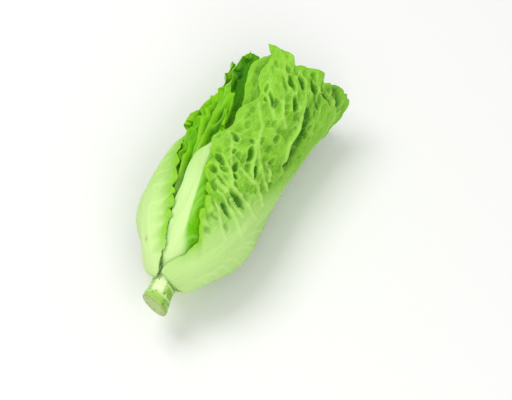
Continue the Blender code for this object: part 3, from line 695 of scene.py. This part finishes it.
def leaf_skin(name):
    """Living lettuce leaf: a waxy cuticle, soft in its gloss, over wet green tissue that light shines
    through. The rib is thicker, paler and less see-through."""
    colours = bpy.context.scene.lettuce_colours
    blade, *shades, through = FACES[name]
    light, hollow, vein = map(linear, shades)
    skin, node, (pale, painted_bump_light, low, veins, edge, bruise) = new_material(
        name, "pale light hollow vein edge bruise")
    own = node("TexCoord", out="UV")

    # Soft patterns, in mm across and along the leaf: patches of lighter green, streaks in the green,
    # fibres in the pale flesh, and the grain of the skin
    patches, streaks, fibres, grain = (
        node("TexNoise", {"Scale": 1.0, "Detail": detail, "Vector": node("Mapping", {
            "Vector": own, "Scale": (PATTERN_SPAN / (wide * MM), PATTERN_SPAN / (long * MM), 1)})})
        for wide, long, detail in ((16, 16, 3.0), (2.2, 16, 3.0), (1.3, 40, 2.0), (0.9, 0.9, 2.0)))
    # The finest net of veins, meshes of about 2.6 mm
    net = node("TexVoronoi", {"Vector": own, "Scale": PATTERN_SPAN / (2.6 * MM)},
              feature="DISTANCE_TO_EDGE")
    line = node("MapRange", {"Value": net, "From Max": 0.1, "To Min": 0.4, "To Max": 0.0})
    streaks = node("MapRange", {"Value": streaks, "From Min": 0.45, "From Max": 0.75, "To Max": 0.42})

    # The fibres tint the flesh, and net and streaks are calmer in the painted shade of the hollows
    shade = node("Math", {0: fibres, 1: 1.1, 2: -0.42 * 1.1}, operation="MULTIPLY_ADD")
    flesh = node("Mix", {0: shade, 6: linear(colours.flesh), 7: linear(FIBRE)}, 2, data_type="RGBA")
    calm = node("Math", {0: low, 1: -0.7, 2: 1.0}, operation="MULTIPLY_ADD")
    # One over the other: each layer's share, its strength and its colour. The bumps' tops are painted
    # light, the hollows and fold valleys painted shade, and the veins' and margin's layers also hold a
    # painted highlight on fold crests
    colour = linear(getattr(colours, blade))
    for share, strength, over in (
            (patches, 1.0, light), (painted_bump_light, 0.8, light), (low, 0.92, hollow), (veins, 0.85, vein),
            (edge, 0.8, linear(colours.margin)), (line, calm, vein), (streaks, calm, vein),
            (pale, 1.0, flesh), (bruise, 1.0, linear(colours.bruise))):
        share = node("Math", {0: share, 1: strength}, operation="MULTIPLY")
        colour = node("Mix", {0: share, 6: colour, 7: over}, 2, data_type="RGBA")

    relief = 0.0
    for part, share in ((fibres, pale), (grain, 0.35), (line, 1.2)):
        relief = node("Math", {0: part, 1: share, 2: relief}, operation="MULTIPLY_ADD")
    bump = node("Bump", {"Height": relief, "Strength": 0.5, "Distance": 0.4 * MM})
    gloss = node("Math", {0: patches, 1: 0.18, 2: 0.3}, operation="MULTIPLY_ADD")
    face = node("BsdfPrincipled", {
        "Base Color": colour, "Roughness": gloss, "IOR": 1.42, "Specular IOR Level": 0.1, "Normal": bump})
    glow = node("BsdfTranslucent", {"Color": colour, "Normal": bump})
    share = node("Math", {0: pale, 1: -through, 2: 1.25 * through}, operation="MULTIPLY_ADD")
    mixed = node("MixShader", {0: share, 1: face, 2: glow})
    node("OutputMaterial", {"Surface": mixed})
    return skin


def skins(kind):
    """The outer and the inner skin of a leaf, made once."""
    names = (f"{kind} outer face", f"{kind} inner face")
    return [bpy.data.materials.get(name) or leaf_skin(name) for name in names]


def finish_piece(obj, node):
    """Ends a piece: it rides on the head's one body, and stands for its solid."""
    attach(obj, "root")
    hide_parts(node)


def paint_mesh(mesh, paint):
    """Writes each named array as an attribute of the mesh's points."""
    for name, values in paint.items():
        mesh.attributes.new(name, "FLOAT", "POINT").data.foreach_set("value", values)


def grow(leaf):
    """A flat grid bent into the leaf's outer face, then thickened inwards, most along the rib."""
    sizes = bpy.context.scene.lettuce_sizes
    bpy.ops.object.select_all(action="DESELECT")
    bpy.ops.mesh.primitive_grid_add(x_subdivisions=leaf.grid[0], y_subdivisions=leaf.grid[1], calc_uvs=True)
    obj = bpy.context.object
    obj.name = f"{leaf.name}_skin"
    mesh = obj.data
    flat = np.zeros(len(mesh.vertices) * 3)
    mesh.vertices.foreach_get("co", flat)
    flat = flat.reshape(-1, 3)
    u, across = np.clip((flat[:, 1] + 1) / 2, 0, 1), np.clip(flat[:, 0], -1, 1) - leaf.split
    v = np.where(across < 0, across / (1 + leaf.split), across / (1 - leaf.split))
    points, thickness, paint, own_map = leaf_sheet(leaf, u, v, sizes)
    mesh.vertices.foreach_set("co", points.ravel())

    paint["bruise"] = np.zeros(len(points))
    for h, a, size in leaf.bruises:
        at = np.array([h * MM])
        spot = place(at, np.radians([a]), nest_radius(at, 0.0), np.zeros(1))
        away = np.linalg.norm(points - spot, axis=1) / (size * MM)
        paint["bruise"] = np.maximum(paint["bruise"], bell(away))
    paint_mesh(mesh, paint)
    corners = np.zeros(len(mesh.loops), np.int32)
    mesh.loops.foreach_get("vertex_index", corners)
    mesh.uv_layers[0].data.foreach_set("uv", own_map[corners].ravel())
    rib = obj.vertex_groups.new(name="rib")
    for i, share in enumerate(thickness.clip(0, 1)):
        rib.add([i], float(share), "REPLACE")

    for skin in skins(leaf.kind):
        mesh.materials.append(skin)
    shell = obj.modifiers.new("thickness", "SOLIDIFY")
    shell.thickness = RIB_BASE + sizes.blade
    shell.offset = -1
    shell.vertex_group = rib.name
    shell.thickness_vertex_group = sizes.blade / (RIB_BASE + sizes.blade)
    shell.material_offset = 1
    bpy.ops.object.modifier_apply(modifier=shell.name)
    bpy.ops.object.shade_smooth()
    finish_piece(obj, leaf.name)


class LETTUCE_OT_leaves(bpy.types.Operator):
    """Grows the leaves round the heart: inside, behind and under, and last the two large outer ones"""
    bl_idname = "lettuce.leaves"
    bl_label = "Leaves"

    def execute(self, context):
        for leaf in (LEAF_TOP, LEAF_BACK_RIGHT, LEAF_BACK_LEFT, LEAF_UNDER, LEAF_RUFFLED, LEAF_TORN,
                     LEAF_LEFT, LEAF_RIGHT):
            grow(leaf)
        return {"FINISHED"}


class LETTUCE_OT_heart(bpy.types.Operator):
    """Grows the small pale leaves of the heart, by the golden angle"""
    bl_idname = "lettuce.heart"
    bl_label = "Heart"

    def execute(self, context):
        for i in range(HEART_COUNT):
            turn = HEART_FIRST_ANGLE + GOLDEN_ANGLE * i
            grow(Leaf(
                f"heart_leaf_{i + 1}", HEART_TIP - HEART_TIP_STEP * i,
                level=HEART_FIRST_LEVEL + HEART_LEVEL_STEP * i,
                rib={0: turn, 1: turn - HEART_TWIST}, left=HEART_SPAN, right=HEART_SPAN,
                left_frill=HEART_FRILL, right_frill=HEART_FRILL, rib_size=0.6,
                seed=HEART_FIRST_SEED + i, blisters=0.5, grid=(60, 90), kind="heart"))
        return {"FINISHED"}


class LETTUCE_OT_stem(bpy.types.Operator):
    """Turns the stem: a cut butt with the scars of the leaves that were pulled off"""
    bl_idname = "lettuce.stem"
    bl_label = "Stem"

    def execute(self, context):
        bpy.ops.object.select_all(action="DESELECT")
        bpy.ops.mesh.primitive_uv_sphere_add(segments=120, ring_count=150, radius=1)
        obj = bpy.context.object
        obj.name = "stem_skin"
        mesh = obj.data
        ball = np.array([v.co for v in mesh.vertices])
        around = np.arctan2(ball[:, 1], ball[:, 0])
        run = np.arccos(np.clip(-ball[:, 2], -1, 1)) / math.pi
        outline = [(0.0, 0.0)] + [(r * MM, h * MM) for h, r in STEM_PROFILE.items()]
        outline.append((0.0, (max(STEM_PROFILE) + STEM_TIP) * MM))
        steps = np.concatenate([[0], np.cumsum([math.dist(a, b) for a, b in zip(outline, outline[1:])])])
        steps /= steps[-1]
        radius, height = (np.interp(run, steps, values) for values in zip(*outline))
        cut_radius, widest = outline[1][0], max(r for r, h in outline)
        side = smooth((run - steps[1]) / CUT_EDGE)

        # Scars: low ledges where leaves were pulled off, each a crescent round a third of the stem
        scar = np.zeros(len(ball))
        for i, at in enumerate(SCAR_HEIGHTS):
            facing = np.cos(around - math.radians(FIRST_SCAR + GOLDEN_ANGLE * i))
            bow = at * MM + SCAR_BOW * (1 - facing)
            ledge = bell((height - bow) / SCAR_WIDTH) * smooth(facing * SCAR_ARC)
            scar = np.maximum(scar, ledge)
        rough = np.array([
            noise.noise(Vector((math.cos(a) * ROUGH_ROUND, math.sin(a) * ROUGH_ROUND, h / ROUGH_SIZE)))
            for a, h in zip(around, height)])
        radius = radius + side * (SCAR_RISE * scar + ROUGH * rough)
        dished = (1 - side) * (1 - (radius / cut_radius) ** 2)
        height = height + (CUT_DISH * dished + CUT_ROUGH * rough) * (1 - side)
        angle = np.arctan2(ball[:, 0], -ball[:, 1])
        askew = CUT_SKEW * (widest - radius * np.sin(angle)) * np.maximum(1 - height / CUT_SKEW_LENGTH, 0)
        points = place(height + askew, angle, radius, np.zeros(len(ball)))
        mesh.vertices.foreach_set("co", points.ravel())

        turn = np.degrees(angle)
        start, end = SHAVED_ROUND
        shaved = smooth((turn - start) / 20) * smooth((end - turn) / 14)
        shaved *= smooth((height - SHAVED_FROM) / (4 * MM))
        sliver = bell((height - SLIVER[0]) / SLIVER_SIZE[0]) * bell((turn - SLIVER[1]) / SLIVER_SIZE[1])
        ring = bell((radius - VESSEL_RING * cut_radius) / VESSEL_WIDTH) * (1 - side)
        dots = smooth((np.cos(VESSELS * around + 2 * np.sin(3 * around)) - 0.55) / 0.3)
        paint_mesh(mesh, {
            "scar": np.maximum(SCAR_PALE * scar, np.maximum(shaved, sliver)) * side,
            "cut": 1 - side,
            # painted shade on the butt's side away from the light
            "shade": smooth((turn - SHADE_FROM) / SHADE_RAMP) * side,
            "dots": ring * dots,
            "rim": bell((run - steps[1]) / RIM_EDGE),
        })
        bpy.ops.object.mode_set(mode="EDIT")
        bpy.ops.mesh.select_all(action="SELECT")
        bpy.ops.mesh.normals_make_consistent(inside=False)
        bpy.ops.object.mode_set(mode="OBJECT")
        bpy.ops.object.shade_smooth()
        mesh.materials.append(stem_flesh())
        finish_piece(obj, "stem")
        return {"FINISHED"}


def stem_flesh():
    """Wet lettuce stem: pale, with a thin skin that has been cut and scraped and browns at the edges."""
    look = bpy.context.scene.lettuce_stem
    flesh, node, (shade, scar, cut, rim, dots) = new_material("wet cut stem", "shade scar cut rim dots")
    where = node("TexCoord", out="Object")
    # Patches of 7 mm, and specks that stand about 3.4 mm apart
    patches = node("TexNoise", {"Vector": where, "Scale": 1 / (7 * MM), "Detail": 4.0})
    speck = node("TexVoronoi", {"Vector": where, "Scale": 1 / (3.4 * MM)})
    speck_dot = node("MapRange", {
        "Value": speck, "From Min": 0.12, "From Max": 0.28, "To Min": 1.0, "To Max": 0.0})
    luck = node("SeparateColor", {0: speck.node.outputs["Color"]})
    rare = node("Math", {0: luck, 1: 0.72}, operation="GREATER_THAN")
    brown = 0.0
    for part, strength in ((speck_dot, rare), (rim, 0.35), (dots, 0.75)):
        part = node("Math", {0: part, 1: strength}, operation="MULTIPLY")
        brown = node("Math", {0: brown, 1: part}, operation="MAXIMUM")
    # the shade green lies under the patches, and is laid on again as painted shade on the butt's side
    colour = linear(look.shade)
    for share, over in ((patches, look.skin), (shade, look.shade), (scar, look.scar),
                        (cut, look.cut), (brown, look.brown)):
        colour = node("Mix", {0: share, 6: colour, 7: linear(over)}, 2, data_type="RGBA")
    grain = node("TexNoise", {"Vector": where, "Scale": 1 / (1.1 * MM), "Detail": 3.0})
    bump = node("Bump", {"Height": grain, "Strength": 0.4, "Distance": 0.3 * MM})
    face = node("BsdfPrincipled", {
        "Base Color": colour, "Roughness": 0.38, "IOR": 1.4, "Normal": bump})
    node("OutputMaterial", {"Surface": face})
    return flesh


class LETTUCE_OT_stage(bpy.types.Operator):
    """Lays the pale floor, hangs the soft lamps and sets the camera at the photo's angle"""
    bl_idname = "lettuce.stage"
    bl_label = "Stage"

    def execute(self, context):
        look = context.scene.lettuce_stage
        bpy.ops.object.select_all(action="DESELECT")
        bpy.ops.mesh.primitive_plane_add(size=6)
        floor = context.object
        floor.name = "floor"
        paper = bpy.data.materials.new("matt white paper")
        paper.use_nodes = True
        shader = paper.node_tree.nodes["Principled BSDF"]
        shader.inputs["Base Color"].default_value = linear(look.floor)
        shader.inputs["Roughness"].default_value = 0.9
        floor.data.materials.append(paper)

        def lamp(name, power, size, spot):
            light = bpy.data.objects.new(name, bpy.data.lights.new(name, "AREA"))
            light.data.energy, light.data.size = power, size
            light.location = spot
            light.rotation_euler = (Vector(spot) - CAMERA_TARGET).to_track_quat("Z", "Y").to_euler()
            context.scene.collection.objects.link(light)

        lamp("key", look.key, size=0.9, spot=(-0.75, 0.1, 1.55))
        lamp("fill", look.key * FILL_SHARE, size=1.2, spot=(0.95, -0.85, 1.35))
        world = bpy.data.worlds.new("studio")
        world.use_nodes = True
        sky = world.node_tree.nodes["Background"]
        sky.inputs["Color"].default_value = (1, 1, 1, 1)
        sky.inputs["Strength"].default_value = look.sky
        context.scene.world = world
        context.scene.view_settings.view_transform = "Standard"

        az, el = CAMERA_AZIMUTH, CAMERA_ELEVATION
        back = Vector((math.sin(az) * math.cos(el), -math.cos(az) * math.cos(el), math.sin(el)))
        right = Vector((math.cos(az), math.sin(az), 0))
        camera = bpy.data.objects.new("camera", bpy.data.cameras.new("camera"))
        context.scene.collection.objects.link(camera)
        centre = CAMERA_TARGET + right * CAMERA_SIDE + back.cross(right) * CAMERA_LIFT
        camera.location = centre + back * CAMERA_DISTANCE
        camera.rotation_euler = back.to_track_quat("Z", "Y").to_euler()
        camera.data.sensor_width = SENSOR
        camera.data.lens = SENSOR * CAMERA_DISTANCE / FRAME_WIDTH
        context.scene.camera = camera
        return {"FINISHED"}


class LETTUCE_PT_panel(bpy.types.Panel):
    """The steps of growing the head, in order"""
    bl_idname = "LETTUCE_PT_panel"
    bl_label = "Cos lettuce"
    bl_space_type = "VIEW_3D"
    bl_region_type = "UI"
    bl_category = "Lettuce"

    def draw(self, context):
        for group in ("lettuce_sizes", "lettuce_colours", "lettuce_stem", "lettuce_stage"):
            box = self.layout.box()
            values = getattr(context.scene, group)
            for name in values.__annotations__:
                box.prop(values, name)
        for operator in OPERATORS:
            self.layout.operator(operator.bl_idname)


GROUPS = {
    "lettuce_sizes": LeafSizes,
    "lettuce_colours": LeafColours,
    "lettuce_stem": StemLook,
    "lettuce_stage": StageLook,
}
OPERATORS = (LETTUCE_OT_stem, LETTUCE_OT_heart, LETTUCE_OT_leaves, LETTUCE_OT_stage)


def register():
    for made in (*GROUPS.values(), *OPERATORS, LETTUCE_PT_panel):
        bpy.utils.register_class(made)
    for name, group in GROUPS.items():
        setattr(bpy.types.Scene, name, PointerProperty(type=group))


def unregister():
    for name in GROUPS:
        delattr(bpy.types.Scene, name)
    for made in (LETTUCE_PT_panel, *reversed(OPERATORS), *reversed(GROUPS.values())):
        bpy.utils.unregister_class(made)


def main():
    register()
    for operator in OPERATORS:
        group, name = operator.bl_idname.split(".")
        getattr(getattr(bpy.ops, group), name)()


if __name__ == "__main__":
    main()
